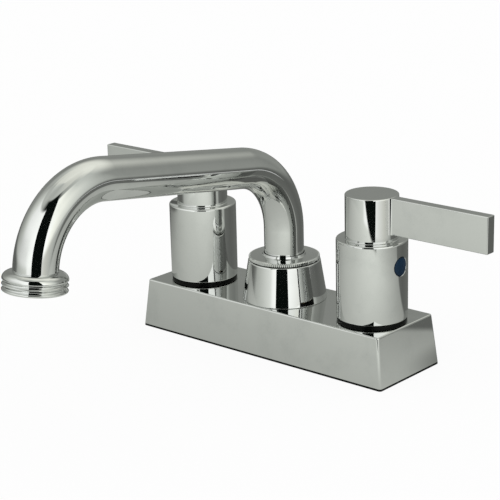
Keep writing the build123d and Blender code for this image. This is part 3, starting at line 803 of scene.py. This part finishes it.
def hoseCollar():
    # Turned with its length along Z, then set on the outlet
    size = collarSizes
    mount = next(item for item in record["mounts"] if item["name"] == "hose_outlet")
    axis = Vector(mount["axis"]).normalized()
    profile = [(size["socket"], 0.0), (size["lip"], 0.0)]
    for step in range(1, size["ringSteps"] + 1):
        angle = radians(90 * step / size["ringSteps"])
        profile.append((size["lip"] + (size["crest"] - size["lip"]) * sin(angle),
                        size["shoulder"] * (1 - cos(angle))))
    ridgeEnd = size["firstCrest"] + size["pitch"] * (size["ridges"] - 1)
    count = size["ringSteps"] * (size["ridges"] - 1)
    for step in range(1, count + 1):
        along = size["firstCrest"] + (ridgeEnd - size["firstCrest"]) * step / count
        wave = (1 - cos(2 * pi * (along - size["firstCrest"]) / size["pitch"])) / 2
        profile.append((size["crest"] - size["ridge"] * wave ** size["ridgeCurve"], along))
    for step in range(1, size["mouthSteps"] + 1):
        angle = radians(90 * step / size["mouthSteps"])
        profile.append((size["mouth"] + (size["crest"] - size["mouth"]) * cos(angle),
                        ridgeEnd + (size["length"] - ridgeEnd) * sin(angle)))
    bore = tubeSizes["radius"] - tubeSizes["wall"]
    floor = size["length"] - size["counterboreDepth"]
    profile += [(size["counterbore"], size["length"]), (size["counterbore"], floor), (bore, floor),
                (bore, size["socketDepth"]), (size["socket"], size["socketDepth"])]
    collar = turnProfile("hoseCollar", profile, size["sides"])
    turn = Vector((0, 0, 1)).rotation_difference(axis).to_matrix().to_4x4()
    collar.matrix_world = Matrix.Translation(Vector(mount["pos_m"]) - axis * size["middle"]) @ turn
    selectOnly(collar)
    applyPlace()
    finishMesh(collar, size["sharpAngle"])
    place(collar, "spout", "chrome_plate", "hose_collar")


spoutTube()
hoseCollar()
print("spout made")


# Floor, studio and camera

# Metres, with X as east and Y as north; tableEdge and gapReach count in squares of the table's radius.
# A side of the gap is (slope, start), the painted shadow of the faucet (east, north, reach) and the card's spot
# (east, north, bearing)
studio = {"floorHalf": 3.0, "floorRise": 0.02 * mm, "floorLift": 0.90, "chalk": 0.9,
          "tableTint": (0.97, 1.0, 0.935), "tableRadius": 0.27, "tableEdge": 0.05,
          "shadow": (0.02, 0.06, 0.08), "shadowEdges": (0.4, 1.1), "shadowTone": 0.3,
          "backSlope": 0.12, "back": 0.068, "soft": 0.006,
          "strip": (0.36, 0.43), "stripSoft": 0.01, "stripStart": 0.30, "stripStartSoft": 0.02,
          "gapLeft": (0.68, 0.304), "gapRight": (1.608, -0.005), "gapReach": (1.9, 2.1),
          "cardSpot": (0.178, -0.284, 32), "cardSize": (0.20, 0.5), "darkTone": (0.003, 0.005, 0.004, 1),
          "northTones": ((-0.30, 0.90), (-0.20, 0.80), (-0.10, 0.69), (0.0, 0.50), (0.10, 0.33)),
          "eastTones": ((-0.30, 0.45), (-0.20, 0.80), (-0.10, 0.90), (0.0, 0.98), (0.08, 1.12), (0.20, 1.36),
                        (0.28, 1.10), (0.36, 0.95))}


def floorTone(desk, distance, tones):
    # Painted light and shade by distance in metres, over half a metre each way, at half strength inside the ramp
    stops = [(metres + 0.5, grey(level / 2)) for metres, level in tones]
    ramp = desk.node("ShaderNodeValToRGB", {"stops": stops}, {0: distance + 0.5})
    return desk.node("ShaderNodeSeparateColor", {}, {0: ramp}) * 2


def edgeStep(desk, value, middle, soft):
    # 0 before the middle, 1 after it, soft on both sides
    return softStep(desk, value, middle - soft, middle + soft)


def mirrorsOnly(desk, forEyes, forMirrors):
    # Output that mirrors see in another way than the eye does
    glossyRay = desk.node("ShaderNodeLightPath", output="Is Glossy Ray")
    surface = desk.node("ShaderNodeMixShader", {}, {0: glossyRay, 1: forEyes, 2: forMirrors})
    desk.node("ShaderNodeOutputMaterial", {}, {"Surface": surface})


def floorMaterial():
    # White to the eye with a soft shadow. Mirrors see a small grey table with painted light and shade and a painted
    # shadow of the faucet on it, the studio round it through the clear floor, a bright strip at the back and the
    # foot of the dark gap
    look = studio
    material, desk = newMaterial("paleFloor")
    spot = desk.node("ShaderNodeTexCoord", output="Object")
    east = desk.node("ShaderNodeSeparateXYZ", {}, {0: spot}, output="X")
    north = desk.node("ShaderNodeSeparateXYZ", {}, {0: spot}, output="Y")
    reach = (east * east + north * north) / look["tableRadius"] ** 2
    # Painted shadow of the faucet: an ellipse behind the base darkens the table that only mirrors see
    shadowX, shadowY, shadowReach = look["shadow"]
    sideways, backwards = (east - shadowX) / shadowReach, (north - shadowY) / shadowReach
    lit = softStep(desk, sideways * sideways + backwards * backwards, *look["shadowEdges"])
    shade = lit * (1 - look["shadowTone"]) + look["shadowTone"]
    behind = north - look["backSlope"] * east
    inside = (1 - edgeStep(desk, reach, 1, look["tableEdge"])) \
        * (1 - edgeStep(desk, behind, look["back"], look["soft"]))
    front, back = look["strip"]
    strip = edgeStep(desk, north, front, look["stripSoft"]) * (1 - edgeStep(desk, north, back, look["stripSoft"])) \
        * edgeStep(desk, east, look["stripStart"], look["stripStartSoft"])
    (leftSlope, leftStart), (rightSlope, rightStart) = look["gapLeft"], look["gapRight"]
    gap = edgeStep(desk, east - leftSlope * north, leftStart, look["soft"]) \
        * edgeStep(desk, 0 - east - rightSlope * north, -rightStart, look["soft"]) \
        * (1 - softStep(desk, reach, *look["gapReach"]))
    # Painted light and shade on the table: darker near and behind the faucet, brighter to the front and the right
    tone = floorTone(desk, north, look["northTones"]) * floorTone(desk, east, look["eastTones"]) * shade
    colour = desk.node("ShaderNodeVectorMath", {"operation": "SCALE"}, {0: look["tableTint"], "Scale": tone})
    table = desk.node("ShaderNodeEmission", {}, {"Color": colour, "Strength": 1.0})
    shine = desk.node("ShaderNodeEmission", {}, {"Color": (1, 1, 1, 1), "Strength": 1.0})
    clear = desk.node("ShaderNodeBsdfTransparent")
    beyond = desk.node("ShaderNodeMixShader", {}, {0: strip, 1: clear, 2: shine})
    nothing = desk.node("ShaderNodeEmission", {}, {"Color": look["darkTone"], "Strength": 1.0})
    plain = desk.node("ShaderNodeMixShader", {}, {0: inside, 1: beyond, 2: table})
    forMirrors = desk.node("ShaderNodeMixShader", {}, {0: gap, 1: plain, 2: nothing})
    chalk = desk.node("ShaderNodeBsdfDiffuse", {}, {"Color": (*grey(look["chalk"]), 1), "Roughness": 0.5})
    forEyes = desk.node("ShaderNodeMixShader", {}, {0: look["floorLift"], 1: chalk, 2: shine})
    mirrorsOnly(desk, forEyes, forMirrors)
    return material


def paleFloor():
    # A hair above zero, so that it doesn't share a plane with the gasket's underside
    startClean()
    bpy.ops.mesh.primitive_plane_add(size=2 * studio["floorHalf"], location=(0, 0, studio["floorRise"]))
    floor = bpy.context.object
    floor.name = "paleFloor"
    floor.data.materials.append(floorMaterial())


def darkCard():
    # The dark gap between the soft boxes stands close by, and only mirrors see it
    look = studio
    east, north, bearing = look["cardSpot"]
    width, height = look["cardSize"]
    startClean()
    bpy.ops.mesh.primitive_plane_add(size=1, location=(east, north, height / 2),
                                     rotation=(pi / 2, 0, radians(bearing)))
    card = bpy.context.object
    card.name = "darkCard"
    card.scale = (width, height, 1)
    applyPlace()
    material, desk = newMaterial("darkCard")
    clear = desk.node("ShaderNodeBsdfTransparent")
    black = desk.node("ShaderNodeEmission", {}, {"Color": look["darkTone"], "Strength": 1.0})
    mirrorsOnly(desk, clear, black)
    card.data.materials.append(material)


# Heights in degrees over which one band of the studio gives way to the next, from the bottom up;
# front is the share of north over which the lean of the front comes in
bands = {"walls": (-5.0, 4.0), "highWalls": (25.0, 50.0), "tee": (52.5, 57.5), "ceiling": (65.0, 69.0),
         "front": (-0.3, 0.3), "frontLean": 14}


def studioWorld():
    # Plain white for the eye and for matt surfaces; mirrors see soft boxes, grey walls and a dark panel overhead
    world = bpy.data.worlds.new("studio")
    bpy.context.scene.world = world
    world.use_nodes = True
    world.node_tree.nodes.clear()
    desk = Wire(world.node_tree)
    way = desk.node("ShaderNodeTexCoord", output="Generated")
    east = desk.node("ShaderNodeSeparateXYZ", {}, {0: way}, output="X")
    north = desk.node("ShaderNodeSeparateXYZ", {}, {0: way}, output="Y")
    rise = desk.node("ShaderNodeSeparateXYZ", {}, {0: way}, output="Z")
    bearing = desk.node("ShaderNodeMath", {"operation": "ARCTAN2"}, {0: east, 1: 0 - north}) * (180 / pi)
    height = desk.node("ShaderNodeMath", {"operation": "ARCSINE"}, {0: rise}) * (180 / pi)
    share = bearing / 360 + 0.5

    def band(stops):
        # Stops are (bearing in degrees, level, tint)
        colours = [((degree + 180) / 360, grey(level, tint)) for degree, level, tint in stops]
        return desk.node("ShaderNodeValToRGB", {"stops": colours}, {0: share})

    green, cream, plain = (0.965, 1.0, 0.935), (0.99, 1.0, 0.915), (0.985, 1.0, 0.975)
    dark = (0.006, (0.6, 1.0, 0.75))
    below = band([(-180, 0.17, green), (-130, 0.16, green), (-70, 0.15, green), (-60, 0.26, green),
                  (-50, 0.56, green), (-2, 0.92, green), (6, 1.3, plain), (11, 1.35, plain),
                  (51, 1.2, plain), (90, 0.78, cream), (112, 0.62, green), (119, 0.52, green),
                  (124, 0.19, green), (150, 0.15, green), (180, 0.17, green)])
    walls = band([(-180, 0.36, green), (-120, 0.28, green), (-97, 0.33, green), (-67, 0.63, green),
                  (-37, 0.91, plain), (-7, 1.16, plain), (5, 1.42, plain), (13.5, 1.5, plain),
                  (59, 1.6, plain), (77, 1.58, plain), (92, 1.38, cream), (120, 0.82, green),
                  (138, 0.39, green), (165, 0.32, green), (180, 0.36, green)])
    highWalls = band([(-180, 1.1, cream), (-135, 1.03, cream), (-115, 0.70, green), (-90, 0.50, green),
                      (-67, 0.83, green), (-45, 1.18, plain), (-7, 1.38, plain), (16, 1.45, plain),
                      (58, 1.58, plain), (84, 1.36, cream), (110, 0.82, green), (135, 0.70, green),
                      (160, 0.98, cream), (180, 1.1, cream)])
    tee = band([(-180, 1.15, cream), (-130, 1.03, cream), (-97, 0.86, cream), (-82, 0.60, green),
                (-35, 0.68, green), (-12, 0.52, green), (12, *dark), (66, *dark), (80, 0.46, green),
                (115, 0.68, green), (150, 1.10, cream), (180, 1.15, cream)])
    ceiling = band([(-180, 1.10, cream), (-90, 0.97, cream), (-67, 0.74, green), (-30, 0.60, green),
                    (10, 0.58, green), (50, 0.68, green), (120, 0.89, cream), (180, 1.10, cream)])
    # The high walls start lower at the front
    lean = softStep(desk, 0 - north, *bands["front"]) * bands["frontLean"]
    seen = blendColour(desk, softStep(desk, height, *bands["walls"]), below, walls)
    seen = blendColour(desk, softStep(desk, height + lean, *bands["highWalls"]), seen, highWalls)
    seen = blendColour(desk, softStep(desk, height, *bands["tee"]), seen, tee)
    seen = blendColour(desk, softStep(desk, height, *bands["ceiling"]), seen, ceiling)
    glossyRay = desk.node("ShaderNodeLightPath", output="Is Glossy Ray")
    colour = blendColour(desk, glossyRay, (1, 1, 1, 1), seen)
    light = desk.node("ShaderNodeBackground", {}, {"Color": colour, "Strength": 1.0})
    desk.node("ShaderNodeOutputWorld", {}, {"Surface": light})


# Lens in mm, angles in degrees, place in metres
photoView = {"lens": 117.007, "sensor": 36.0, "yaw": 41.396, "pitch": 17.013, "roll": -1.386,
             "place": (0.46498, -0.55146, 0.26712)}


def photoCamera():
    view = photoView
    yaw, pitch, roll = radians(view["yaw"]), radians(view["pitch"]), radians(view["roll"])
    back = Vector((sin(yaw) * cos(pitch), -cos(yaw) * cos(pitch), sin(pitch)))
    right = Vector((cos(yaw), sin(yaw), 0))
    up = back.cross(right)
    sideways = right * cos(roll) + up * sin(roll)
    upwards = up * cos(roll) - right * sin(roll)
    data = bpy.data.cameras.new("photoCamera")
    data.lens = view["lens"]
    data.sensor_width = view["sensor"]
    camera = bpy.data.objects.new("photoCamera", data)
    bpy.context.scene.collection.objects.link(camera)
    turn = Matrix((sideways, upwards, back)).transposed()
    camera.matrix_world = Matrix.Translation(view["place"]) @ turn.to_4x4()
    bpy.context.scene.camera = camera


paleFloor()
darkCard()
studioWorld()
photoCamera()
bpy.context.scene.view_settings.view_transform = "Standard"
print("studio made")
